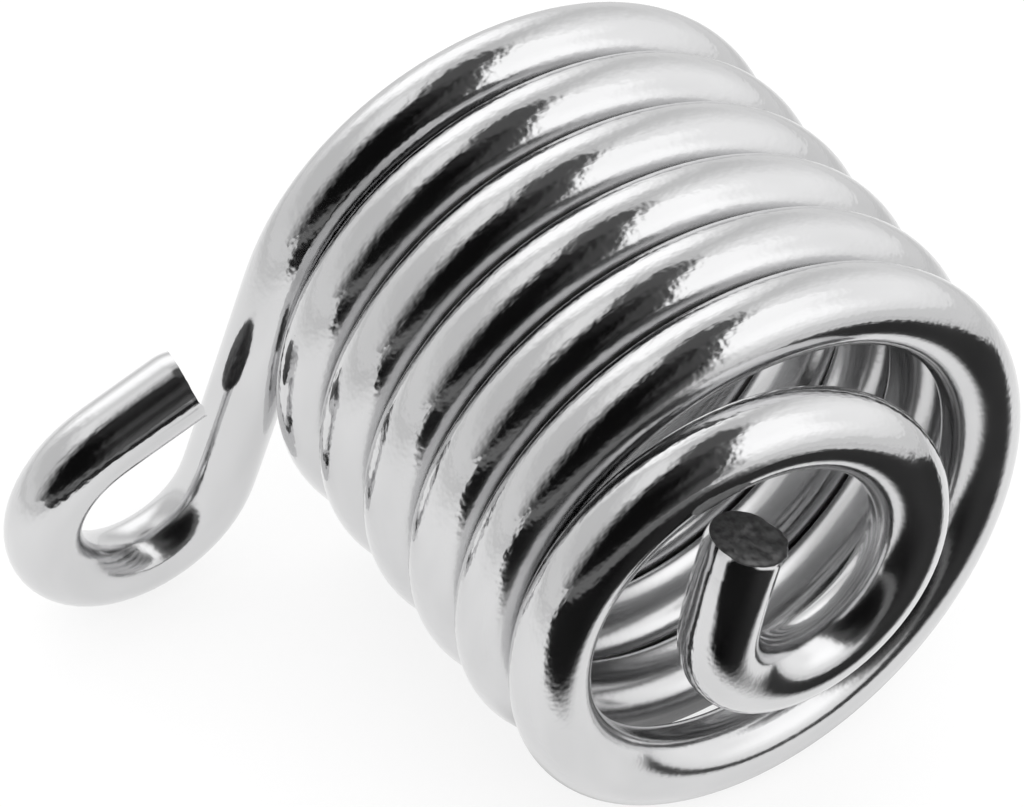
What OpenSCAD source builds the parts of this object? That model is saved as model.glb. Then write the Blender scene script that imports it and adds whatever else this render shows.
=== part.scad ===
// Helical spring bent from one length of round wire.
// A close-wound, left-hand coil carries a hook with a round eye at its back end. At its front end the
// wire winds inwards in a spiral and stops in a short straight tang inside the coil.
// The spring lies on its side, on the coil and the eye. The coil's axis runs along Y, the spiral faces -Y.

/* [Wire] */
// Diameter of the round wire
wire_d = 3; // [2.4:0.1:3.4]

/* [Coil] */
// Mean diameter of the coil, from wire centre to wire centre
coil_d = 20.7; // [19:0.1:26]
// Quarter turns from the hook's neck to the start of the spiral
quarter_turns = 21; // [9:1:41]
// Clear gap between one turn and the next
turn_gap = 0.24; // [0.12:0.02:0.5]

/* [Hook] */
// Straight neck between the coil and the eye
neck_length = 10; // [8:0.1:16]
// Clear width inside the eye
eye_inner_d = 5; // [4.2:0.1:7]
// Angle that the wire turns through round the eye
eye_angle = 234; // [225:1:245]
// Angle by which the eye stands out of the plane of the first turn
eye_roll = 3.7; // [0:0.1:8]
// Clear gap between the eye's cut end and the neck
eye_gap = 0.25; // [0.1:0.05:1]

/* [Spiral end] */
// Angle of each bend that still follows the coil, up to where the wire starts to turn inwards
follow_angle = 61; // [50:1:64]
// Angle of the bend that eases the wire inwards
ease_angle = 80; // [70:1:84]
// Angle of each of the bends that tighten the spiral
tighten_angle = 75; // [70:1:80]
// Angle of the last and tightest bend
last_angle = 134; // [120:1:140]
// How much smaller than the coil's the first tight bend's radius is, in turns of wire
first_step = 0.7; // [0.6:0.01:0.8]
// How much the radius shrinks from one tight bend to the next, in turns of wire
next_step = 0.4; // [0.3:0.01:0.42]
// Length of the straight tang
tang_length = 4; // [2:0.1:5]

/* [Hidden] */
$fn = 32;

wire_r = wire_d / 2;
coil_r = coil_d / 2;
pitch = wire_d + turn_gap;
eye_r = (eye_inner_d + wire_d) / 2;

// Angles by which the wire is rolled about its own line before each bend, which lift the spiral
// towards the front so that its turns clear the coil's.
follow_roll = [5.2, 4.5, -0.3];
ease_roll = 4.2;
tighten_roll = [6.7, 3.1, 3.6, 8.5];
ease_step = 0.1;

// Every second piece of the wire is a hair thinner and runs a little way into its neighbours, so that
// the pieces join into one solid with no two surfaces in the same place.
hair = 0.02;
lap = 0.04;

// ---- Frames that travel along the wire: X points away from the bend's centre, Y along the wire ----

function shift(v) = [[1, 0, 0, v.x], [0, 1, 0, v.y], [0, 0, 1, v.z], [0, 0, 0, 1]];
function turn_x(a) = [[1, 0, 0, 0], [0, cos(a), -sin(a), 0], [0, sin(a), cos(a), 0], [0, 0, 0, 1]];
function turn_y(a) = [[cos(a), 0, sin(a), 0], [0, 1, 0, 0], [-sin(a), 0, cos(a), 0], [0, 0, 0, 1]];
function turn_z(a) = [[cos(a), -sin(a), 0, 0], [sin(a), cos(a), 0, 0], [0, 0, 1, 0], [0, 0, 0, 1]];

// One piece of wire is a bend, [radius, angle, roll before it], or a straight, [0, length, 0].
function bend(radius, angle, roll = 0) = [radius, angle, roll];
function straight(length) = [0, length, 0];
function is_straight(piece) = piece[0] == 0;

// The frame a share t, from 0 to 1, of the way along a piece that starts at the frame given.
function along(piece, start, t) =
    is_straight(piece)
    ? start * shift([0, piece[1] * t, 0])
    : start * turn_y(piece[2]) * shift([-piece[0], 0, 0]) * turn_z(piece[1] * t) * shift([piece[0], 0, 0]);

// The frame at the start of each piece of a run.
function starts(run, start) =
    [for (i = 0, f = start; i < len(run); f = along(run[i], f, 1), i = i + 1) f];

// Points along the centre line of a run.
function centre_line(run, start) =
    let (frames = starts(run, start))
    [for (i = [0 : len(run) - 1], k = [0 : 24]) along(run[i], frames[i], k / 24) * [0, 0, 0, 1]];

// ---- The coil: quarter turns, each a flat bend that is tilted to climb a quarter of the pitch ----

rise = pitch / 4;
tilt = atan(rise / (2 * coil_r * sin(45)));
half_bend_angle = atan(cos(tilt));
quarter_r = coil_r * sin(45) / (sin(half_bend_angle) * cos(tilt));
quarter_off = coil_r * cos(45) - quarter_r * cos(half_bend_angle);
quarter_roll = acos(pow(cos(tilt), 2));

coil_start = turn_z(45) * shift([quarter_off, 0, rise / 2]) * turn_x(tilt)
    * turn_z(-half_bend_angle) * shift([quarter_r, 0, 0]);
coil_run = [for (i = [1 : quarter_turns]) bend(quarter_r, 2 * half_bend_angle, i == 1 ? 0 : quarter_roll)];

// ---- The spiral: bends that follow the coil, one that eases inwards, and ever tighter ones ----

spiral_run = concat(
    [for (roll = follow_roll) bend(coil_r, follow_angle, roll)],
    [bend(coil_r - pitch * ease_step, ease_angle, ease_roll)],
    [for (k = [0 : 3])
        bend(coil_r - pitch * (first_step + next_step * k), k < 3 ? tighten_angle : last_angle, tighten_roll[k])]
);
front_run = concat(coil_run, spiral_run, [straight(tang_length)]);

// ---- The hook, from the coil's start backwards: neck, eye, and the stub that stops short of the neck ----

stub_length = (eye_r * (1 - cos(eye_angle)) - wire_d - eye_gap) / -sin(eye_angle);
hook_start = coil_start * turn_x(180);
hook_run = [straight(neck_length), bend(eye_r, eye_angle, 180 + eye_roll), straight(stub_length)];

// ---- The resting place: the coil and the eye both touch the floor, and the box is centred ----

eye_centre = starts(hook_run, hook_start)[1] * turn_y(180 + eye_roll) * [-eye_r, 0, 0, 1];
eye_reach = norm([eye_centre.x, eye_centre.y]);
rest_lean = acos((coil_r - eye_r) / eye_reach) - atan2(eye_centre.y, eye_centre.x) - 90;

// The coil is wound round +Z, mirrored to be left-handed, laid along Y and leant over.
mirror_x = [[-1, 0, 0, 0], [0, 1, 0, 0], [0, 0, 1, 0], [0, 0, 0, 1]];
laid = turn_y(rest_lean) * turn_x(90) * mirror_x;
line_points = [for (p = concat(centre_line(front_run, coil_start), centre_line(hook_run, hook_start))) laid * p];
low = [for (axis = [0 : 2]) min([for (p = line_points) p[axis]])];
high = [for (axis = [0 : 2]) max([for (p = line_points) p[axis]])];

// ---- Solids ----

module wire_piece(piece, thin) {
    r = thin ? wire_r - hair : wire_r;
    ends = thin ? lap : 0;
    if (is_straight(piece))
        translate([0, -ends, 0]) rotate([-90, 0, 0]) cylinder(h = piece[1] + 2 * ends, r = r);
    else {
        end_angle = ends / piece[0] * 180 / PI;
        rotate([0, piece[2], 0]) translate([-piece[0], 0, 0]) rotate([0, 0, -end_angle])
            rotate_extrude(angle = piece[1] + 2 * end_angle) translate([piece[0], 0]) circle(r = r);
    }
}

// The pieces of a run, every second one thin, the first as told.
module wire_run(run, start, first_thin) {
    frames = starts(run, start);
    for (i = [0 : len(run) - 1])
        multmatrix(frames[i]) wire_piece(run[i], (i % 2 == 0) == first_thin);
}

module spring_wire() {
    color("silver")
        translate([-(low.x + high.x) / 2, -(low.y + high.y) / 2, wire_r - low.z])
            rotate([0, rest_lean, 0]) rotate([90, 0, 0]) mirror([1, 0, 0]) {
                wire_run(front_run, coil_start, true);
                wire_run(hook_run, hook_start, false);
            }
}

spring_wire();
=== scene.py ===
"""A helical spring of bright plated round wire, lying on a pale floor in soft studio light.

The spring is one length of wire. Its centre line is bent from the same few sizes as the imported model, the
wire is a round profile carried along that line, and its two sheared ends are closed by their own faces.
"""

from __future__ import annotations

import logging
import math
from dataclasses import dataclass
from enum import Enum
from typing import ClassVar, NamedTuple

import bpy
import numpy as np
from mathutils import Matrix, Vector

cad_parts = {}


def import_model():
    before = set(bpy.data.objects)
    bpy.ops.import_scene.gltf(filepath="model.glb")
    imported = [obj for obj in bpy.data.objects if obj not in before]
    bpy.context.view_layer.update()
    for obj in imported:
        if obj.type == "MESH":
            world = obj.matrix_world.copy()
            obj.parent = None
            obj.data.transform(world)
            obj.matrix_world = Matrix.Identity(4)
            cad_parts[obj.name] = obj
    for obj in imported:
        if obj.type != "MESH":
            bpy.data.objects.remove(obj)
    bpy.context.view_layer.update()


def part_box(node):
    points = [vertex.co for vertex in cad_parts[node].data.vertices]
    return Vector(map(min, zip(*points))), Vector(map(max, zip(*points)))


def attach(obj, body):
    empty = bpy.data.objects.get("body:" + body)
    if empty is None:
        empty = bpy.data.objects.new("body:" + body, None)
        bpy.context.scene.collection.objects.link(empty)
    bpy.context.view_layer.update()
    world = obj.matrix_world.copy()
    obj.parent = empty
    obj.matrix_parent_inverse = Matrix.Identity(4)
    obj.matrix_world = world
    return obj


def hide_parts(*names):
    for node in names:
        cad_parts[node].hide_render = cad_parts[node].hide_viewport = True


log = logging.getLogger("helical_spring")

Array = np.ndarray
Pair = tuple[float, float]
Triple = tuple[float, float, float]
Object = bpy.types.Object
Socket = bpy.types.NodeSocket
Source = Socket | float | tuple[float, ...]

MM = 0.001
NODE = "spring_wire"


class Turn(Enum):
    """The axis that a turning matrix turns about."""

    X = 0
    Y = 1
    Z = 2

    def by(self, degrees: float) -> Array:
        """A right-handed turn about this axis, as a 3 by 3 matrix.

        Args:
            degrees: how far it turns.

        Returns:
            The matrix: cosines on the two turned axes, and sines off the diagonal.
        """
        c, s = math.cos(math.radians(degrees)), math.sin(math.radians(degrees))
        matrix = np.eye(3)
        a, b = (self.value + 1) % 3, (self.value + 2) % 3
        matrix[a, a] = matrix[b, b] = c
        matrix[a, b], matrix[b, a] = -s, s
        return matrix


class Frame(NamedTuple):
    """A place on the wire and its axes, as columns: away from the bend's centre, along the wire, across."""

    place: Array
    axes: Array


@dataclass(frozen=True)
class Piece:
    """A stretch of wire: a flat bend after a roll about the wire's own line, or a straight of radius 0."""

    radius: float
    reach: float
    roll: float = 0.0

    @property
    def length(self) -> float:
        """Length along the wire: the reach of a straight, or the arc of a bend."""
        return self.reach if self.radius == 0 else self.radius * math.radians(self.reach)

    def points(self, start: Frame, along: Array) -> tuple[Array, Array, Frame]:
        """Places and directions along the piece.

        A straight is its start plus the distance times its direction. A bend is its centre plus the radius
        times (cosine of the angle outwards + sine of the angle along).

        Args:
            start: the frame where the piece begins.
            along: distances from the start, in millimetres.

        Returns:
            The places, the directions and the frame at the piece's end.
        """
        axes = start.axes @ Turn.Y.by(self.roll)
        if self.radius == 0:
            end = Frame(start.place + self.reach * axes[:, 1], axes)
            return start.place + along[:, None] * axes[:, 1], np.repeat(axes[None, :, 1], len(along), 0), end
        centre = start.place - self.radius * axes[:, 0]
        angle = (along / self.radius)[:, None]
        places = centre + self.radius * (np.cos(angle) * axes[:, 0] + np.sin(angle) * axes[:, 1])
        directions = np.cos(angle) * axes[:, 1] - np.sin(angle) * axes[:, 0]
        end_axes = axes @ Turn.Z.by(self.reach)
        return places, directions, Frame(centre + self.radius * end_axes[:, 0], end_axes)


@dataclass(frozen=True)
class SpringSizes:
    """The sizes that the spring is bent to, in millimetres and degrees."""

    wire: float = 3.0
    coil: float = 20.7
    quarter_turns: int = 21
    turn_gap: float = 0.24
    neck: float = 10.0
    eye_inner: float = 5.0
    eye_angle: float = 234.0
    eye_roll: float = 3.7
    eye_gap: float = 0.25
    follow_angle: float = 61.0
    follow_rolls: tuple[float, ...] = (5.2, 4.5, -0.3)
    ease_angle: float = 80.0
    ease_roll: float = 4.2
    ease_step: float = 0.1
    tighten_angles: tuple[float, ...] = (75.0, 75.0, 75.0, 134.0)
    tighten_rolls: tuple[float, ...] = (6.7, 3.1, 3.6, 8.5)
    first_step: float = 0.7
    next_step: float = 0.4
    tang: float = 4.0

    @property
    def pitch(self) -> float:
        """Distance from one turn to the next."""
        return self.wire + self.turn_gap

    @property
    def coil_radius(self) -> float:
        """Radius of the coil, to the wire's centre."""
        return self.coil / 2

    @property
    def eye_radius(self) -> float:
        """Radius of the eye, to the wire's centre."""
        return (self.eye_inner + self.wire) / 2

    @property
    def stub(self) -> float:
        """Length of the eye's straight end, which stops short of the neck by the eye's gap."""
        angle = math.radians(self.eye_angle)
        return (self.eye_radius * (1 - math.cos(angle)) - self.wire - self.eye_gap) / -math.sin(angle)


class Stations(NamedTuple):
    """Places along the wire, one row each: how far along, the centre, the wire's direction, two across it.

    The last part points away from the middle of the bend, and is as long as the bend is tight, up to 1.
    """

    along: Array
    places: Array
    directions: Array
    across: Array
    up: Array
    outwards: Array


class WireLine:
    """The wire's centre line, from the hook's cut end to the tang's, laid as the spring lies.

    In millimetres, its points are the spacing apart, a bell curve of the smoothing's width eases each change
    of bend, and the wire round the line stays the clearance inside its box. The curve ends at so many widths.
    """

    SPACING = 0.05
    SMOOTHING = 0.5
    BELL_REACH = 4
    CLEARANCE = 0.003

    def __init__(self, sizes: SpringSizes) -> None:
        """Bends the line.

        Args:
            sizes: what the spring is bent to.
        """
        self.sizes = sizes
        self.places, self.directions, self.coil_span = self._bent()
        self._smooth()
        self._lay()

    def _quarter(self) -> tuple[Piece, Piece, Frame]:
        """The quarter bends that make up the coil.

        Each is flat and tilted about its middle, so that it climbs a quarter of the pitch.

        Returns:
            The first quarter, any later quarter, and the frame at the coil's start.
        """
        radius, rise = self.sizes.coil_radius, self.sizes.pitch / 4
        half_quarter = 45.0
        half = math.radians(half_quarter)
        tilt = math.atan(rise / (2 * radius * math.sin(half)))
        bend = math.atan(math.cos(tilt))
        bend_radius = radius * math.sin(half) / (math.sin(bend) * math.cos(tilt))
        offset = radius * math.cos(half) - bend_radius * math.cos(bend)
        roll = math.degrees(math.acos(math.cos(tilt) ** 2))
        sweep = 2 * math.degrees(bend)
        outer = Turn.Z.by(half_quarter)
        axes = outer @ Turn.X.by(math.degrees(tilt)) @ Turn.Z.by(-sweep / 2)
        centre = outer @ np.array([offset, 0.0, rise / 2])
        start = Frame(centre + bend_radius * axes[:, 0], axes)
        return Piece(bend_radius, sweep), Piece(bend_radius, sweep, roll), start

    def _pieces(self) -> tuple[list[Piece], Frame, list[Piece], Frame]:
        """The bends and straights of the spring.

        Returns:
            The pieces forwards from the coil's start and their start, and those backwards and theirs.
        """
        s = self.sizes
        first, later, start = self._quarter()
        front = [first] + [later] * (s.quarter_turns - 1)
        front += [Piece(s.coil_radius, s.follow_angle, roll) for roll in s.follow_rolls]
        front += [Piece(s.coil_radius - s.pitch * s.ease_step, s.ease_angle, s.ease_roll)]
        for k, (angle, roll) in enumerate(zip(s.tighten_angles, s.tighten_rolls)):
            front.append(Piece(s.coil_radius - s.pitch * (s.first_step + s.next_step * k), angle, roll))
        front.append(Piece(0, s.tang))
        hook = [Piece(0, s.neck), Piece(s.eye_radius, s.eye_angle, 180 + s.eye_roll), Piece(0, s.stub)]
        return front, start, hook, Frame(start.place, start.axes @ Turn.X.by(180))

    def _run(self, pieces: list[Piece], start: Frame) -> tuple[Array, Array]:
        """Evenly spaced places and directions along a run of pieces.

        Args:
            pieces: the run.
            start: the frame where it begins.

        Returns:
            The places and the directions.
        """
        ends = np.cumsum([piece.length for piece in pieces])
        along = np.arange(0, ends[-1], self.SPACING)
        places, directions = np.empty((2, len(along), 3))
        frame, begin = start, 0.0
        for piece, end in zip(pieces, ends):
            mine = (along >= begin) & (along < end)
            places[mine], directions[mine], frame = piece.points(frame, along[mine] - begin)
            begin = end
        return places, directions

    def _bent(self) -> tuple[Array, Array, slice]:
        """The whole line with sharp changes of bend.

        Returns:
            The places, the directions, and the stretch that is the coil.
        """
        front, start, hook, hook_start = self._pieces()
        front_places, front_directions = self._run(front, start)
        hook_places, hook_directions = self._run(hook, hook_start)
        places = np.concatenate([hook_places[:0:-1], front_places])
        directions = np.concatenate([-hook_directions[:0:-1], front_directions])
        coil_length = sum(piece.length for piece in front[: self.sizes.quarter_turns])
        begin = len(hook_places) - 1
        return places, directions, slice(begin, begin + int(coil_length / self.SPACING))

    def _smooth(self) -> None:
        """Lets each bend run gently into the next.

        The direction at a point becomes the mean of the directions near it, weighted by a bell curve, and the
        line becomes the running sum of the directions, set so that the coil stays where it was.
        """
        sigma = self.SMOOTHING / self.SPACING
        reach = int(self.BELL_REACH * sigma)
        bell = np.exp(-0.5 * (np.arange(-reach, reach + 1) / sigma) ** 2)
        bell /= bell.sum()
        padded = np.pad(self.directions, ((reach, reach), (0, 0)), mode="edge")
        mean = np.stack([np.convolve(padded[:, k], bell, "valid") for k in range(3)], 1)
        mean /= np.linalg.norm(mean, axis=1)[:, None]
        steps = self.SPACING * (mean[1:] + mean[:-1]) / 2
        line = np.concatenate([np.zeros((1, 3)), np.cumsum(steps, 0)])
        shift = (self.places - line)[self.coil_span].mean(0)
        self.places, self.directions = line + shift, mean

    def _lay(self) -> None:
        """Mirrors the coil to be left-handed, lays it along Y and leans it until coil and eye meet the floor.

        The lean is the angle at which the circles of the coil and the eye have one line below them both: the
        arc cosine of the difference of their radii over the distance between their centres, less the angle
        of the eye's centre.
        """
        s = self.sizes
        _, _, hook, hook_start = self._pieces()
        neck_end = hook[0].points(hook_start, np.zeros(1))[2]
        eye = neck_end.place - s.eye_radius * (neck_end.axes @ Turn.Y.by(hook[1].roll))[:, 0]
        distance = math.hypot(eye[0], eye[1])
        below_both = math.acos((s.coil_radius - s.eye_radius) / distance)
        lean = math.degrees(below_both - math.atan2(eye[1], eye[0])) - 90
        laid = Turn.Y.by(lean) @ Turn.X.by(90) @ np.diag([-1.0, 1.0, 1.0])
        self.places, self.directions = self.places @ laid.T, self.directions @ laid.T

    def settle(self, low: Array, high: Array, radius: float) -> None:
        """Sizes and moves the line so that the wire round it fills a box and stands on its floor.

        Args:
            low: the box's lowest corner, in millimetres.
            high: its highest corner.
            radius: how far the wire reaches from the line.
        """
        reach = radius + self.CLEARANCE
        line_low, line_high = self.places.min(0), self.places.max(0)
        share = ((high - low - 2 * reach) / (line_high - line_low)).min()
        shift = (low + high) / 2 - share * (line_low + line_high) / 2
        shift[2] = low[2] + reach - share * line_low[2]
        self.places = self.places * share + shift
        log.info("Centre line: drawn at %.4f of its length, for a wire of %.2f mm", share, 2 * radius)

    def carried(self, stride: int, end_rows: int) -> Stations:
        """Stations along the line, whose directions across don't twist from one to the next.

        Args:
            stride: how many spacings lie between two stations.
            end_rows: how many stations at either end lie only one spacing apart.

        Returns:
            The stations.
        """
        count = len(self.places)
        picks = np.arange(count)
        picks = picks[(picks % stride == 0) | (picks < end_rows) | (picks >= count - end_rows)]
        places, directions = self.places[picks], self.directions[picks]
        across = np.empty_like(directions)
        side = np.cross(directions[0], [0.0, 0.0, 1.0])
        for k, direction in enumerate(directions):
            side = side - (side @ direction) * direction
            side /= np.linalg.norm(side)
            across[k] = side
        outwards = -np.gradient(self.directions, self.SPACING, axis=0)[picks] * self.sizes.coil_radius
        outwards /= np.maximum(np.linalg.norm(outwards, axis=1), 1)[:, None]
        up = np.cross(directions, across)
        return Stations(picks * self.SPACING, places, directions, across, up, outwards)


def s_curve(amount: Array) -> Array:
    """A rise from 0 at -1/2 to 1 at +1/2 that is level at both ends: three squares less two cubes."""
    t = np.clip(amount + 0.5, 0, 1)
    return t * t * (3 - 2 * t)


def unit(vector: Array) -> Array:
    """The vector at length 1."""
    return vector / np.linalg.norm(vector)


def make_mesh(name: str, vertices: Array, faces: Array) -> Object:
    """A smooth-shaded mesh object at the origin.

    Args:
        name: the object's name.
        vertices: places in millimetres, one row each.
        faces: corner numbers, one row a face, with the last repeated where a face has three.

    Returns:
        The object, linked into the scene.
    """
    mesh = bpy.data.meshes.new(name)
    rows = [row[:3] if row[3] == row[2] else row for row in faces.tolist()]
    mesh.from_pydata((vertices * MM).tolist(), [], rows)
    mesh.validate()
    mesh.polygons.foreach_set("use_smooth", [True] * len(mesh.polygons))
    obj = bpy.data.objects.new(name, mesh)
    bpy.context.scene.collection.objects.link(obj)
    return obj


def grid_faces(rows: int, columns: int) -> Array:
    """Faces of a grid that closes on itself along its columns.

    Args:
        rows: how many rows of points there are.
        columns: how many points a row has.

    Returns:
        Four corner numbers a face, wound so that the outside is on the left of the rows' way.
    """
    row, column = np.meshgrid(np.arange(rows - 1), np.arange(columns), indexing="ij")
    here, after = row * columns + column, row * columns + (column + 1) % columns
    return np.stack([here, after, after + columns, here + columns], -1).reshape(-1, 4)


class Cut(NamedTuple):
    """Where the wire is cut: its centre, its direction out of the end, and the directions to its edge."""

    place: Array
    axis: Array
    ring: Array

    def across(self, way: Triple) -> Array:
        """The part of a way that lies across the wire."""
        return np.array(way) - (np.array(way) @ self.axis) * self.axis


@dataclass(frozen=True)
class ShearedEnd:
    """One end of the wire as the shear leaves it, in millimetres.

    The blade rolls the edge over where it goes in, cuts a smooth part, tears the rest off along a rougher
    and slightly deeper part, and leaves a thin, flared lip of burr where it comes out. The whole face leans,
    and the end is pushed aside. The rings are shares of the edge's radius, from the edge to the middle.
    """

    blade_side: Triple
    long_side: Triple
    reach: float
    lean: float
    seed: int
    blend: float = 0.75
    roll_length: float = 0.5
    roll_depth: float = 0.13
    roll_all_round: float = 0.06
    roll_narrowing: float = 0.4
    roll_power: float = 1.5
    burr_height: float = 0.08
    burr_foot: float = 0.14
    burr_flare: float = 0.02
    push: Triple = (0.0, 0.0, 0.0)
    push_length: float = 2.6
    burr_inside: float = 0.06
    burr_round: float = 0.15
    burr_power: float = 0.8
    burr_inside_power: float = 1.5
    burr_waves: tuple[Pair, ...] = ((0.35, 9.0), (0.25, 23.0))
    tear_depth: float = 0.05
    tear_from: float = -0.1
    tear_edge: float = 0.5
    tear_wander: Pair = (0.25, 2.1)
    tear_roughness: float = 0.012
    cut_roughness_share: float = 0.35
    grain_sizes: tuple[float, float, int] = (1.6, 0.18, 9)
    grain_power: float = 0.8
    grain_headings: int = 3
    grain_curl: Pair = (0.6, 2.3)
    score_height: float = 0.006
    score_spacing: float = 0.21
    score_wander: float = 5.0
    rings: tuple[float, ...] = (
        0.985, 0.965, 0.94, 0.9, 0.85, 0.79, 0.72, 0.64, 0.56, 0.48, 0.4, 0.32, 0.24, 0.16, 0.08
    )

    def _grain(self, across: Array, along: Array) -> Array:
        """The torn metal's unevenness: a seeded sum of curling waves of many sizes and headings.

        Args:
            across: places on the face, in millimetres.
            along: the same, at right angles.

        Returns:
            A height of about -1 to 1 at each place.
        """
        draw = np.random.default_rng(self.seed)
        height = np.zeros_like(across)
        curl, curl_length = self.grain_curl
        for size in np.geomspace(*self.grain_sizes):
            for heading, phase in draw.uniform(0, 2 * math.pi, (self.grain_headings, 2)):
                wave = (across * math.cos(heading) + along * math.sin(heading)) * 2 * math.pi / size
                height += size**self.grain_power * np.sin(wave + phase + curl * np.sin(wave / curl_length))
        return height / self.grain_headings

    def _face(self, cut: Cut, offsets: Array) -> Array:
        """Height of the cut face: its lean, less the torn part's depth, plus grain and fine scores.

        Args:
            cut: where the wire is cut.
            offsets: places across the wire from its centre.

        Returns:
            How far the face stands out at each place.
        """
        blade, longer = unit(cut.across(self.blade_side)), unit(cut.across(self.long_side))
        inwards, sideways = -(offsets @ blade), offsets @ np.cross(cut.axis, blade)
        wander, waves = self.tear_wander
        border = inwards + wander * np.sin(waves * sideways + self.seed) - self.tear_from
        torn = s_curve(border / self.tear_edge)
        scores = np.sin(2 * math.pi * sideways / self.score_spacing + np.sin(self.score_wander * sideways))
        scores = scores * self.score_height * (1 - torn)
        rough = self._grain(inwards, sideways) * self.tear_roughness * (self.cut_roughness_share + torn)
        return self.reach + self.lean * (offsets @ longer) - self.tear_depth * torn + scores + rough

    def _burr(self, cut: Cut) -> Array:
        """Height of the lip of burr round the edge: greatest away from the blade, and uneven.

        Args:
            cut: where the wire is cut.

        Returns:
            How far the lip stands out at each direction.
        """
        blade = unit(cut.across(self.blade_side))
        away, sideways = -(cut.ring @ blade), cut.ring @ np.cross(cut.axis, blade)
        uneven = 1.0
        for k, (size, waves) in enumerate(self.burr_waves, 1):
            uneven += size * np.sin(waves * sideways + k * self.seed)
        return self.burr_height * np.clip(away + self.burr_round, 0, 1) ** self.burr_power * uneven

    def _pushed(self, cut: Cut, inside: Array) -> Array:
        """How the wire near its end moves aside: by the square of the share left of the pushed length."""
        left = np.clip(1 - inside / self.push_length, 0, 1)
        return (left**2)[:, None] * cut.across(self.push)

    def _rolled(self, cut: Cut, inside: Array) -> Array:
        """How far the skin is pressed in near the end: the square of the share left of the rolled length.

        The roll is deepest and longest where the blade goes in. The lip of burr does the reverse: it flares
        outwards over its foot, most where it is highest.

        Args:
            cut: where the wire is cut.
            inside: distances back from the end.

        Returns:
            The depth at each distance and direction.
        """
        blade = unit(cut.across(self.blade_side))
        bite = np.clip(cut.ring @ blade, 0, 1) ** self.roll_power
        share = self.roll_all_round + (1 - self.roll_all_round) * bite
        length = self.roll_length * (self.roll_narrowing + (1 - self.roll_narrowing) * share)
        left = np.clip(1 - inside[:, None] / length, 0, 1)
        foot = np.clip(1 - inside[:, None] / self.burr_foot, 0, 1)
        flare = self.burr_flare / self.burr_height * self._burr(cut)
        return self.roll_depth * share * left**2 - flare * foot**2

    def close(self, cut: Cut, skin: Array, inside: Array, radius: float) -> tuple[Array, Array]:
        """Shapes the skin near the cut and works out the cut face's rings.

        Args:
            cut: where the wire is cut.
            skin: the skin's rows from the end inwards, which are changed.
            inside: the rows' distances back from the end.
            radius: the wire's radius.

        Returns:
            The face's rings from the edge inwards, and its middle.
        """
        edge_radius = radius - self._rolled(cut, np.zeros(1))[0]
        edge = self._face(cut, edge_radius[:, None] * cut.ring)
        burr = self._burr(cut)
        skin -= self._rolled(cut, inside)[..., None] * cut.ring
        shift = edge * np.clip(1 - inside / self.blend, 0, 1)[:, None]
        shift += burr * np.clip(1 - inside / self.burr_foot, 0, 1)[:, None] ** 2
        skin += shift[..., None] * cut.axis + self._pushed(cut, inside)[:, None]
        share = np.array(self.rings)
        offsets = (share[:, None] * edge_radius)[..., None] * cut.ring
        lip = np.clip(1 - (1 - share) / self.burr_inside, 0, 1)[:, None] ** self.burr_inside_power
        height = self._face(cut, offsets) + burr * lip
        centre = cut.place + self._pushed(cut, np.zeros(1))
        middle = centre + self._face(cut, np.zeros((1, 3)))[:, None] * cut.axis
        return centre[0] + offsets + height[..., None] * cut.axis, middle


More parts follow.
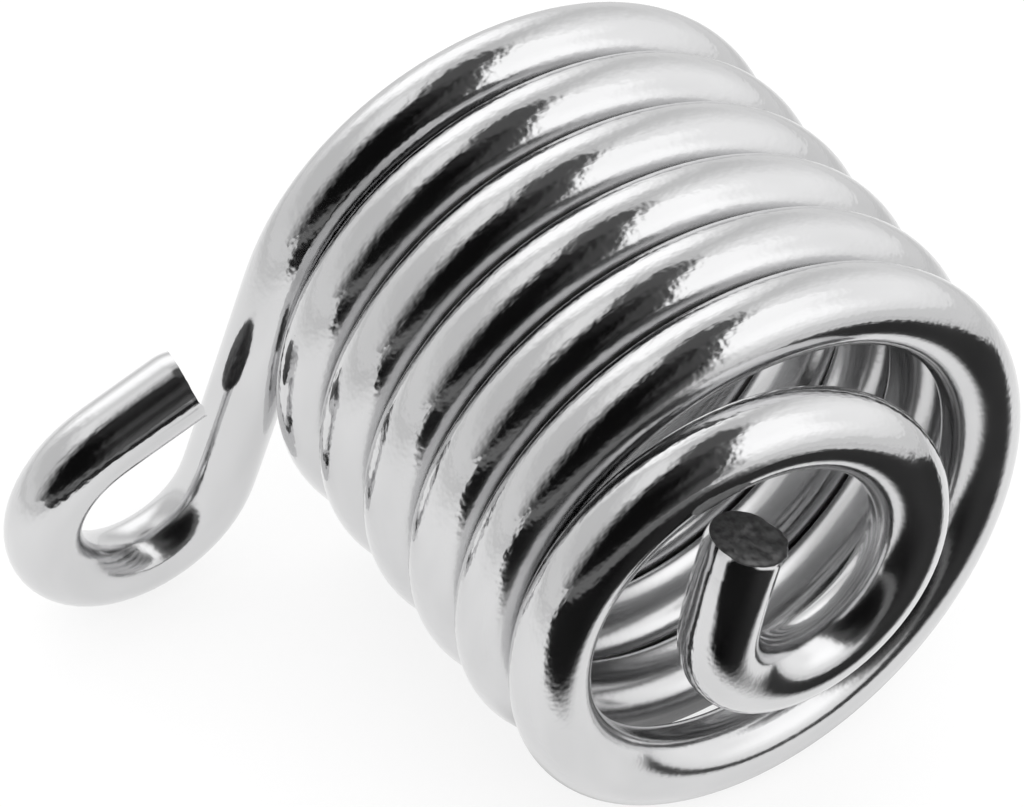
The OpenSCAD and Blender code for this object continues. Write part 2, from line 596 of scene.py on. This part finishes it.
@dataclass
class SpringWire:
    """The whole spring: one bent wire with two sheared ends.

    Limits along the wire are in millimetres from the hook's cut. The wire is pressed wider, creased and given
    painted shade only where it has a turn beside it. A crease, and the painted shade deep in it, begin where
    the skin faces along the coil's axis by more than the share given.
    """

    SHARP_ANGLE: ClassVar[float] = math.radians(40)

    sizes: SpringSizes = SpringSizes()
    radius: float = 1.5
    sides: int = 64
    stride: int = 8
    end_rows: int = 54
    coil_from: float = 42.0
    coil_fade: float = 20.0
    pressed: float = 0.1
    pressed_to: float = 315.0
    bore_to: float = 375.0
    crease: float = 0.8
    crease_edge: float = 0.12
    crease_to: float = 365.0
    inner_hollow: float = 0.5
    # Painted shade: from here on, the crease between two turns takes the bare steel's dark tint.
    crease_shade_from: float = 0.955
    crease_shade_edge: float = 0.05
    hook_end: ShearedEnd = ShearedEnd((-0.13, 0.8, 0.56), (-0.13, 0.8, 0.56), 0.15, 0.1, 3)
    tang_end: ShearedEnd = ShearedEnd(
        (-0.5, 0.85, 0.0), (-0.97, -0.05, 0.0), 0.15, 0.155, 8, burr_height=0.06, burr_foot=0.24,
        burr_flare=0.09, burr_inside=0.09, tear_depth=0.09, push=(0.24, 0.12, 0.0),
    )

    def build(self, low: Array, high: Array) -> Object:
        """Makes the wire's mesh.

        A point of the skin is its station's place plus the radius times (cosine of the angle round the wire
        times the first direction across + sine of it times the second). Between the turns of the coil the
        wire is a hair wider along the coil's axis. The skin's rows run on over each edge into the rings of
        the cut.

        Args:
            low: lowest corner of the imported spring's box, in millimetres.
            high: its highest corner.

        Returns:
            The wire as one closed piece.
        """
        line = WireLine(self.sizes)
        line.settle(low, high, self.radius)
        at = line.carried(self.stride, self.end_rows)
        angle = np.linspace(0, 2 * math.pi, self.sides, endpoint=False)
        ring = np.cos(angle)[:, None] * at.across[:, None] + np.sin(angle)[:, None] * at.up[:, None]
        skin = at.places[:, None] + self.radius * ring
        skin[..., 1] += self.pressed * self._beside(at.along, ring[..., 1], self.pressed_to) * ring[..., 1]
        first, last = slice(None, self.end_rows), slice(None, -self.end_rows - 1, -1)
        hook_cut = Cut(at.places[0], -at.directions[0], ring[0])
        tang_cut = Cut(at.places[-1], at.directions[-1], ring[-1])
        hook_face, hook_middle = self.hook_end.close(hook_cut, skin[first], at.along[first], self.radius)
        tang_inside = at.along[-1] - at.along[last]
        tang_face, tang_middle = self.tang_end.close(tang_cut, skin[last], tang_inside, self.radius)
        grid = np.concatenate([hook_face[::-1], skin, tang_face])
        vertices = np.concatenate([grid.reshape(-1, 3), hook_middle, tang_middle])
        wire = make_mesh("bent_wire", vertices, self._faces(len(grid)))
        wire.data.set_sharp_from_angle(angle=self.SHARP_ANGLE)
        self._mark(wire, at, angle, ring)
        log.info("Bent wire: %.1f mm long, %d faces", at.along[-1], len(wire.data.polygons))
        return wire

    def _beside(self, along: Array, facing: Array, last: float) -> Array:
        """Where each point of the skin has a turn beside it: none ahead of the last, none behind the first.

        Args:
            along: distances along the wire, one a row.
            facing: how far each point of a row faces along +Y, away from the spiral.
            last: distance along the wire up to which there is a turn ahead.

        Returns:
            The share, 0 or 1, with a soft change at either end of the coil.
        """
        turn = 2 * math.pi * self.sizes.coil_radius
        ahead, behind = self._within(along, last), self._within(along - turn, last)
        return np.where(facing < 0, ahead[:, None], behind[:, None])

    def _within(self, along: Array, last: float) -> Array:
        """The share, 0 or 1, by which places lie between the coil's start and the last, with soft ends."""
        return s_curve((along - self.coil_from) / self.coil_fade) * s_curve((last - along) / self.coil_fade)

    def _faces(self, rows: int) -> Array:
        """Corner numbers of all faces: the grid, and a fan of triangles round the middle of either cut.

        Args:
            rows: how many rows the grid has.

        Returns:
            Four corner numbers a face.
        """
        side = np.arange(self.sides)
        after, middle = (side + 1) % self.sides, np.full_like(side, rows * self.sides)
        hook = np.stack([after, side, middle, middle], 1)
        last = (rows - 1) * self.sides
        tang = np.stack([last + side, last + after, middle + 1, middle + 1], 1)
        return np.concatenate([grid_faces(rows, self.sides), hook, tang])

    def _mark(self, wire: Object, at: Stations, angle: Array, ring: Array) -> None:
        """Gives the mesh what its finish reads: each point's place on the wire, and three shares.

        A point's place on the wire is cosine and sine of its angle times its distance from the centre, and
        its distance along the wire. The metal is bare on the cuts, and where two turns face each other
        closely the same dark tint is painted shade in the crease between them. It is stretched outside the
        bends, and lies in a hollow inside them, most of all inside the coil, and in the creases between
        turns.

        Args:
            wire: the wire's object.
            at: the skin's stations.
            angle: angles of the columns.
            ring: directions from the centre to the skin, one row a station.
        """
        hook, tang = self.hook_end.rings[::-1], self.tang_end.rings
        out = self.radius * np.concatenate([hook, np.ones(len(at.along)), tang])[:, None]
        far = np.pad(at.along, (len(hook), len(tang)), mode="edge")[:, None].repeat(self.sides, 1)
        spots = np.stack([out * np.cos(angle), out * np.sin(angle), far], -1).reshape(-1, 3)
        spots = np.concatenate([spots, [[0, 0, at.along[0]], [0, 0, at.along[-1]]]])
        cuts = len(hook) * self.sides, len(tang) * self.sides + 2
        facing, stretch = ring[..., 1], (ring * at.outwards[:, None]).sum(-1)
        # Painted shade: the dark tint in the crease where two turns face each other closely.
        contact_shade = s_curve((np.abs(facing) - self.crease_shade_from) / self.crease_shade_edge)
        bare_and_shaded = self._beside(at.along, facing, self.pressed_to) * contact_shade
        crease = s_curve((np.abs(facing) - self.crease) / self.crease_edge)
        crease *= self._beside(at.along, facing, self.crease_to)
        bore = np.maximum(self._within(at.along, self.bore_to), self.inner_hollow)
        hollow = np.maximum(bore[:, None] * np.clip(-stretch, 0, 1), crease)
        attributes, places = wire.data.attributes, spots.astype(np.float32).ravel()
        attributes.new("wire_skin", "FLOAT_VECTOR", "POINT").data.foreach_set("vector", places)
        for label, share, on_cuts in (("bare_and_shaded", bare_and_shaded, 1), ("stretch", stretch, 0), ("hollow", hollow, 0)):
            values = np.pad(share.ravel(), cuts, constant_values=on_cuts).astype(np.float32)
            attributes.new(label, "FLOAT", "POINT").data.foreach_set("value", values)


@dataclass(frozen=True)
class Relief:
    """A layer of small relief: its size round and along the wire, its height, and how fine its detail is."""

    across: float
    along: float
    height: float = 0.0
    detail: float = 2.0


@dataclass(frozen=True)
class FinishNodes:
    """One finish's nodes. Each new node is handed on by the output that is used."""

    NOISE_SPAN: ClassVar[Pair] = (0.3, 0.7)

    tree: bpy.types.NodeTree

    def feed(self, node: bpy.types.Node, takes: dict[str | int, Source]) -> None:
        """Fills a node's inputs.

        Args:
            node: the node.
            takes: for each input, the socket that it is linked to, or its fixed value.
        """
        for label, source in takes.items():
            if isinstance(source, Socket):
                self.tree.links.new(source, node.inputs[label])
            else:
                node.inputs[label].default_value = source

    def made(self, kind: str, gives: str, takes: dict[str | int, Source], **settings: str) -> Socket:
        """A new node.

        Args:
            kind: the node's type.
            gives: the output that is used.
            takes: what its inputs are fed with.
            settings: its own settings.

        Returns:
            The output.
        """
        node = self.tree.nodes.new(kind)
        for label, setting in settings.items():
            setattr(node, label, setting)
        self.feed(node, takes)
        return node.outputs[gives]

    def attribute(self, label: str, gives: str = "Fac") -> Socket:
        """One of the mesh's own attributes."""
        return self.made("ShaderNodeAttribute", gives, {}, attribute_name=label)

    def noise(self, spot: Socket, relief: Relief) -> Socket:
        """Noise of a relief's sizes, of about the noise span.

        Args:
            spot: each point's place on the wire.
            relief: the sizes.

        Returns:
            The noise.
        """
        scale = 1 / relief.across, 1 / relief.across, 1 / relief.along
        place = self.made("ShaderNodeMapping", "Vector", {"Scale": scale, "Vector": spot})
        takes = {"Scale": 1.0, "Detail": relief.detail, "Vector": place}
        return self.made("ShaderNodeTexNoise", "Fac", takes)

    def height(self, noise: Socket, relief: Relief) -> Socket:
        """The noise times the relief's height, about zero."""
        takes = {0: noise, 1: relief.height, 2: -relief.height / 2}
        return self.made("ShaderNodeMath", "Value", takes, operation="MULTIPLY_ADD")

    def joined(self, operation: str, first: Socket, second: Socket) -> Socket:
        """Two values added or multiplied."""
        return self.made("ShaderNodeMath", "Value", {0: first, 1: second}, operation=operation)

    def spread(self, value: Socket, span: Pair, ends: Pair) -> Socket:
        """A value that is stretched from one span to another, and held at its ends."""
        takes = dict(zip(("From Min", "From Max", "To Min", "To Max", "Value"), (*span, *ends, value)))
        return self.made("ShaderNodeMapRange", "Result", takes)

    def blend(self, noise: Socket, low: Triple, high: Triple) -> Socket:
        """A colour that noise carries from one tint to another.

        Args:
            noise: the noise.
            low: the tint at its low end.
            high: the tint at its high end.

        Returns:
            The colour.
        """
        colour = self.made("ShaderNodeValToRGB", "Color", {"Fac": noise})
        for stop, place, tint in zip(colour.node.color_ramp.elements, self.NOISE_SPAN, (low, high)):
            stop.position, stop.color = place, (*tint, 1)
        return colour

    def mixed(self, share: Socket, skin: Socket, on_bare_and_shaded: Socket) -> Socket:
        """One value on the plated skin and another on bare metal and on the painted shade of the creases."""
        takes = {"Factor": share, "A": skin, "B": on_bare_and_shaded}
        return self.made("ShaderNodeMix", "Result", takes, data_type="RGBA")


@dataclass(frozen=True)
class PlatedWire:
    """Bright plating over drawn wire, duller in hollows and creases, the bare torn steel of the cuts, and
    painted shade where turns touch.
    """

    plating: Triple = (0.66, 0.66, 0.665)
    dull_plating: Triple = (0.62, 0.62, 0.625)
    # The bare steel's tint on the cuts, also used as painted shade in the creases between turns.
    bare_and_shaded: Triple = (0.2, 0.2, 0.2)
    bare_and_shaded_dark: Triple = (0.11, 0.11, 0.11)
    gloss: Pair = (0.09, 0.13)
    bare_gloss: Pair = (0.32, 0.5)
    pebble: Relief = Relief(0.26, 0.36, 0.016, 1.0)
    draw_lines: Relief = Relief(0.1, 2.4, 0.002, 1.0)
    waves: Relief = Relief(1.1, 5.0, 0.016, 1.0)
    clouding: Relief = Relief(1.3, 4.0)
    stretch_span: Pair = (0.0, 0.9)
    stretched_grain: Pair = (0.25, 1.0)
    hollow_span: Pair = (0.0, 1.0)
    hollow_dullness: Pair = (0.0, 0.12)
    hollow_relief: Pair = (1.0, 0.0)

    def build(self, name: str) -> bpy.types.Material:
        """Makes the material.

        Its relief is noise on each point's place on the wire, stretched along it, so that it has no seam
        and follows every bend.

        Args:
            name: the material's name.

        Returns:
            The material.
        """
        material = bpy.data.materials.new(name)
        material.use_nodes = True
        nodes = FinishNodes(material.node_tree)
        spot = nodes.attribute("wire_skin", "Vector")
        bare_and_shaded, stretch, hollow = (nodes.attribute(label) for label in ("bare_and_shaded", "stretch", "hollow"))
        clouds, pebble = nodes.noise(spot, self.clouding), nodes.noise(spot, self.pebble)
        plated = nodes.blend(clouds, self.dull_plating, self.plating)
        # Painted shade: the creases between turns take the bare steel's dark tint.
        tint = nodes.mixed(bare_and_shaded, plated, nodes.blend(pebble, self.bare_and_shaded_dark, self.bare_and_shaded))
        dullness = nodes.spread(hollow, self.hollow_span, self.hollow_dullness)
        gloss = nodes.joined("ADD", nodes.spread(clouds, nodes.NOISE_SPAN, self.gloss), dullness)
        roughness = nodes.mixed(bare_and_shaded, gloss, nodes.spread(pebble, nodes.NOISE_SPAN, self.bare_gloss))
        grain = nodes.spread(stretch, self.stretch_span, self.stretched_grain)
        height = nodes.joined("MULTIPLY", nodes.height(pebble, self.pebble), grain)
        calm = nodes.spread(hollow, self.hollow_span, self.hollow_relief)
        for relief in (self.draw_lines, self.waves):
            layer = nodes.height(nodes.noise(spot, relief), relief)
            height = nodes.joined("ADD", height, nodes.joined("MULTIPLY", layer, calm))
        normal = nodes.made("ShaderNodeBump", "Normal", {"Distance": MM, "Height": height})
        shader = material.node_tree.nodes["Principled BSDF"]
        nodes.feed(shader, {"Metallic": 1.0, "Base Color": tint, "Roughness": roughness, "Normal": normal})
        return material


@dataclass(frozen=True)
class StudioCamera:
    """A long lens that looks down on the spring from its front right."""

    target: Triple = (-0.2, 1.85, 13.2)
    distance: float = 174.28
    azimuth: float = -36.42
    elevation: float = 45.27
    roll: float = 5.71
    lens: float = 163.1
    film_width: float = 36.0
    nearest: float = 0.01

    def place(self) -> None:
        """Makes the camera and hands it to the scene."""
        azimuth, elevation = math.radians(self.azimuth), math.radians(self.elevation)
        out = math.cos(elevation)
        forward = Vector((-math.sin(azimuth) * out, math.cos(azimuth) * out, -math.sin(elevation)))
        level = forward.cross(Vector((0, 0, 1))).normalized()
        upright = level.cross(forward)
        roll = math.radians(self.roll)
        right = level * math.cos(roll) + upright * math.sin(roll)
        up = right.cross(forward)
        data = bpy.data.cameras.new("camera")
        data.lens = self.lens
        data.sensor_width = self.film_width
        data.clip_start = self.nearest
        camera = bpy.data.objects.new("camera", data)
        bpy.context.scene.collection.objects.link(camera)
        matrix = Matrix((right, up, -forward)).transposed().to_4x4()
        matrix.translation = Vector(self.target) * MM - forward * self.distance * MM
        camera.matrix_world = matrix
        bpy.context.scene.camera = camera


@dataclass(frozen=True)
class Panel:
    """A soft-edged part of the light tent, in degrees of azimuth from +X and of elevation.

    The two edges of a pair are the widths over which it fades on its low and on its high side. The low side
    of its azimuths falls back by the lean for each degree of elevation.
    """

    azimuths: Pair
    elevations: Pair
    glow: float
    side_edges: Pair
    level_edges: Pair
    lean: float = 0.0

    def cover(self, azimuth: Array, elevation: Array) -> Array:
        """How much of the tent the panel covers: 1 inside, 0 outside, and an S-curve across each edge.

        Args:
            azimuth: directions round the tent, in degrees.
            elevation: directions above the floor.

        Returns:
            The share covered at each direction.
        """
        middle, half = sum(self.azimuths) / 2, (self.azimuths[1] - self.azimuths[0]) / 2
        aside = (azimuth - middle + 180) % 360 - 180
        share = s_curve((aside + half + self.lean * elevation) / self.side_edges[0])
        share *= s_curve((half - aside) / self.side_edges[1])
        above, below = elevation - self.elevations[0], self.elevations[1] - elevation
        return share * s_curve(above / self.level_edges[0]) * s_curve(below / self.level_edges[1])


def directions_of(azimuth: Array, elevation: Array) -> Array:
    """Unit vectors: cosine and sine of the azimuth times the cosine of the elevation, and its sine."""
    a, e = np.radians(azimuth), np.radians(elevation)
    return np.stack([np.cos(a) * np.cos(e), np.sin(a) * np.cos(e), np.sin(e)], -1)


def glowing(name: str) -> bpy.types.Material:
    """A stage material that shines as its mesh's glow says, and lets through what its cover leaves.

    Args:
        name: the material's name.

    Returns:
        The material.
    """
    material = bpy.data.materials.new(name)
    material.use_nodes = True
    material.cycles.emission_sampling = "NONE"
    material.node_tree.nodes.clear()
    nodes = FinishNodes(material.node_tree)
    shine = nodes.made("ShaderNodeEmission", "Emission", {"Color": nodes.attribute("glow", "Color")})
    clear = nodes.made("ShaderNodeBsdfTransparent", "BSDF", {})
    takes = {"Fac": nodes.attribute("cover"), 1: clear, 2: shine}
    surface = nodes.made("ShaderNodeMixShader", "Shader", takes)
    nodes.feed(material.node_tree.nodes.new("ShaderNodeOutputMaterial"), {"Surface": surface})
    return material


def stage_card(name: str, vertices: Array, faces: Array, glow: Array, cover: Array | float = 1.0) -> Object:
    """A part of the studio that only the spring's reflections see.

    Args:
        name: the object's name.
        vertices: places in millimetres, in a grid.
        faces: corner numbers, one row a face.
        glow: brightness at each vertex, in the same grid.
        cover: how much of what lies behind it each vertex hides.

    Returns:
        The card.
    """
    card = make_mesh(name, vertices.reshape(-1, 3), faces)
    for label, share in (("glow", glow), ("cover", cover)):
        values = np.broadcast_to(share, glow.shape).astype(np.float32).ravel()
        card.data.attributes.new(label, "FLOAT", "POINT").data.foreach_set("value", values)
    card.data.materials.append(glowing(name))
    card.visible_camera = card.visible_diffuse = card.visible_shadow = False
    return card


@dataclass(frozen=True)
class LightTent:
    """A translucent tent over the spring, lit from its right and from behind, and open at its front."""

    radius: float = 600.0
    lowest: float = -2.0
    steps_round: int = 360
    steps_up: int = 90
    wall: float = 0.75
    panels: tuple[Panel, ...] = (
        Panel((-180, 180), (-30, 8), 0.87, (1, 1), (5, 14)),
        Panel((262, 388), (0, 75), 1.2, (20, 56), (40, 20)),
        Panel((255, 316), (18, 84), 1.52, (20, 26), (20, 22)),
        Panel((284, 350), (44, 82), 1.45, (24, 22), (20, 16)),
        Panel((60, 111), (9, 49), 1.55, (30, 28), (26, 28)),
        Panel((118, 178), (44, 67), 1.08, (34, 30), (22, 18)),
        Panel((191, 272), (-30, 95), 0.005, (40, 8), (5, 5), 0.2),
        Panel((200, 262), (58, 95), 0.035, (20, 14), (24, 5)),
        Panel((247, 272), (30, 95), 0.075, (18, 8), (16, 5)),
        Panel((257, 273), (-30, 30), 0.04, (16, 8), (5, 16)),
        Panel((200, 273), (-30, 4), 0.11, (20, 8), (5, 6)),
        Panel((262, 283), (64, 95), 0.15, (6, 14), (14, 5)),
        Panel((272, 314), (75, 95), 0.25, (10, 26), (8, 5)),
        Panel((264, 277), (-30, 17), 0.1, (6, 10), (5, 14)),
    )
    vent: Pair = (148.0, 85.0)
    vent_radius: float = 16.0
    vent_edge: float = 10.0
    vent_glow: float = 0.105

    def glow(self, azimuth: Array, elevation: Array) -> Array:
        """Brightness of the tent: the wall with each panel laid over it in turn, and the vent at the top.

        Args:
            azimuth: directions round the tent, in degrees.
            elevation: directions above the floor.

        Returns:
            The brightness at each direction.
        """
        bright = np.full(azimuth.shape, self.wall)
        for panel in self.panels:
            share = panel.cover(azimuth, elevation)
            bright = bright * (1 - share) + panel.glow * share
        facing = directions_of(azimuth, elevation) @ directions_of(*self.vent)
        apart = np.degrees(np.arccos(np.clip(facing, -1, 1)))
        share = s_curve((self.vent_radius - apart) / self.vent_edge)
        return bright * (1 - share) + self.vent_glow * share

    def build(self) -> Object:
        """Makes the tent: a half ball of points by azimuth and elevation.

        Returns:
            The tent.
        """
        azimuths = np.linspace(0, 360, self.steps_round, endpoint=False)
        azimuth, elevation = np.meshgrid(azimuths, np.linspace(self.lowest, 90, self.steps_up), indexing="xy")
        vertices = self.radius * directions_of(azimuth, elevation)
        faces = grid_faces(self.steps_up, self.steps_round)
        return stage_card("light_tent", vertices, faces, self.glow(azimuth, elevation))


@dataclass(frozen=True)
class PaintedDarkReflection:
    """Painted dark reflection: a dark sheet in front of the pale sheet, which only the spring's reflections
    see, in millimetres.

    Its points are a millimetre apart up to the fine reach.
    """

    front: float = -19.5
    front_edge: float = 4.5
    front_skew: float = 0.07
    front_skew_reach: float = 40.0
    front_turn: float = 0.12
    front_turn_from: float = -14.0
    bevel_from: float = -50.0
    bevel_slope: float = 0.42
    bevel_softening: float = 0.2
    right: float = 19.0
    right_edge: float = 14.0
    strip_back: float = -47.0
    strip_edge: float = 7.0
    strip_right: float = 61.0
    strip_right_edge: float = 12.0
    nearest: float = 10.0
    fine_reach: float = 80.0
    reach: float = 500.0
    coarse_steps: int = 24
    height: float = 0.05
    near_glow: float = 0.0
    right_glow: float = 0.03
    right_glow_from: float = 5.0
    right_glow_edge: float = 25.0
    far_glow: float = 0.17
    far_from: float = 72.0
    far_edge: float = 30.0

    def cover(self, x: Array, y: Array) -> Array:
        """Share of the floor that the painted dark sheet hides from the spring's reflections.

        It lies beyond a front edge that turns away at the left and comes nearer at the right, up to its right
        side, where only a strip along the front edge goes on further.

        Args:
            x: places along the front edge.
            y: places ahead of the spring, towards minus.

        Returns:
            The share hidden at each place.
        """
        bevelled = np.maximum(self.bevel_from - x, 0)
        beyond = self.front - self.bevel_slope * bevelled - y
        beyond += self.front_skew * np.clip(x, 0, self.front_skew_reach)
        beyond += self.front_turn * np.clip(x - self.front_turn_from, -self.front_skew_reach, 0)
        width = self.front_edge + self.bevel_softening * bevelled
        body = s_curve((self.right - x) / self.right_edge)
        strip = s_curve((self.strip_right - x) / self.strip_right_edge)
        strip *= s_curve((y - self.strip_back) / self.strip_edge)
        return s_curve(beyond / width) * np.maximum(body, strip)

    def build(self) -> Object:
        """Makes the painted dark reflection: a sheet along the floor.

        Returns:
            The sheet.
        """
        far = np.geomspace(self.fine_reach, self.reach, self.coarse_steps)
        near = np.arange(-self.fine_reach, self.fine_reach)
        ahead = np.concatenate([near[near >= self.nearest], far])
        x, y = np.meshgrid(np.concatenate([-far[::-1], near, far]), -ahead, indexing="xy")
        vertices = np.stack([x, y, np.full_like(x, self.height)], -1)
        rows, columns = x.shape
        # The last column isn't joined to the first. Each face is turned over, because the rows run to minus.
        faces = grid_faces(rows, columns).reshape(rows - 1, columns, 4)[:, :-1, [0, 3, 2, 1]].reshape(-1, 4)
        rightwards = s_curve((x - self.right_glow_from) / self.right_glow_edge)
        glow = self.near_glow + (self.right_glow - self.near_glow) * rightwards
        glow += (self.far_glow - glow) * s_curve((-y - self.far_from) / self.far_edge)
        # Painted reflection: a dark sheet that only the spring's reflections see, darkening the floor in
        # front.
        return stage_card("painted_dark_reflection", vertices, faces, glow, self.cover(x, y))


@dataclass(frozen=True)
class SheetTones:
    """The pale sheet's tones as the spring reflects them, in millimetres: dim far away and in a soft shade.

    The shade's size is half its extent along X and Y, and its edge the share of it over which it fades. The
    points are a millimetre apart up to the fine reach.
    """

    far_from: float = 70.0
    far_edge: float = 90.0
    fine_reach: float = 30.0
    reach: float = 595.0
    coarse_steps: int = 60
    steps_round: int = 120
    height: float = 0.03
    far_glow: float = 0.87
    shade_middle: Pair = (6.0, -6.0)
    shade_size: Pair = (9.0, 3.2)
    shade_edge: float = 0.9
    shade_strength: float = 0.85
    shade_glow: float = 0.12

    def build(self) -> Object:
        """Makes the tones: a flat ring of points by azimuth and distance.

        Returns:
            The card that carries them.
        """
        azimuths = np.linspace(0, 2 * math.pi, self.steps_round, endpoint=False)
        far = np.geomspace(self.fine_reach, self.reach, self.coarse_steps)
        distances = np.concatenate([np.arange(1.0, self.fine_reach), far])
        azimuth, distance = np.meshgrid(azimuths, distances, indexing="xy")
        x, y = distance * np.cos(azimuth), distance * np.sin(azimuth)
        vertices = np.stack([x, y, np.full_like(x, self.height)], -1)
        (shade_x, shade_y), (width, depth) = self.shade_middle, self.shade_size
        inside = 1 - np.hypot((x - shade_x) / width, (y - shade_y) / depth)
        near = self.shade_strength * s_curve(inside / self.shade_edge)
        away = s_curve((distance - self.far_from) / self.far_edge)
        glow = self.shade_glow + (self.far_glow - self.shade_glow) * away
        return stage_card("sheet_tones", vertices, grid_faces(*x.shape), glow, np.maximum(near, away))


@dataclass(frozen=True)
class PaleFloor:
    """The plain pale floor: a thin sheet that is lit from below, so that shadows on it stay faint."""

    size: float = 2000.0
    tone: float = 0.2
    glow: float = 0.78
    roughness: float = 0.9
    specular: float = 0.1

    def build(self) -> Object:
        """Makes the floor.

        Returns:
            The floor.
        """
        half = self.size / 2
        vertices = np.array([[-half, -half, 0], [half, -half, 0], [half, half, 0], [-half, half, 0]])
        floor = make_mesh("pale_floor", vertices, np.array([[0, 1, 2, 3]]))
        material = bpy.data.materials.new("pale_sheet")
        material.use_nodes = True
        looks = {
            "Base Color": (self.tone, self.tone, self.tone, 1.0),
            "Emission Color": (1.0, 1.0, 1.0, 1.0),
            "Emission Strength": self.glow,
            "Roughness": self.roughness,
            "Specular IOR Level": self.specular,
        }
        FinishNodes(material.node_tree).feed(material.node_tree.nodes["Principled BSDF"], looks)
        floor.data.materials.append(material)
        return floor


@dataclass(frozen=True)
class Studio:
    """The tent, the painted dark reflection, the floor and the even white light that the floor is seen by."""

    tent: LightTent = LightTent()
    dark_reflection: PaintedDarkReflection = PaintedDarkReflection()
    tones: SheetTones = SheetTones()
    floor: PaleFloor = PaleFloor()
    light: float = 1.45

    def build(self) -> None:
        """Makes the studio's cards and its world, and reports each card."""
        for part in (self.floor, self.tones, self.dark_reflection, self.tent):
            card = part.build()
            log.info("studio: %s with %d faces", card.name, len(card.data.polygons))
        world = bpy.data.worlds.new("studio")
        bpy.context.scene.world = world
        world.use_nodes = True
        sky = world.node_tree.nodes["Background"]
        FinishNodes(world.node_tree).feed(sky, {"Color": (1.0, 1.0, 1.0, 1.0), "Strength": self.light})
        bpy.context.scene.view_settings.view_transform = "Standard"


def main() -> None:
    """Builds the spring, its finish, and the studio around it."""
    logging.basicConfig(level=logging.INFO)
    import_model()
    StudioCamera().place()
    low, high = (np.array(corner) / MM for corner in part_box(NODE))
    wire = SpringWire().build(low, high)
    wire.data.materials.append(PlatedWire().build("plated_wire"))
    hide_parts(NODE)
    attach(wire, "root")
    Studio().build()


if __name__ == "__main__":
    main()
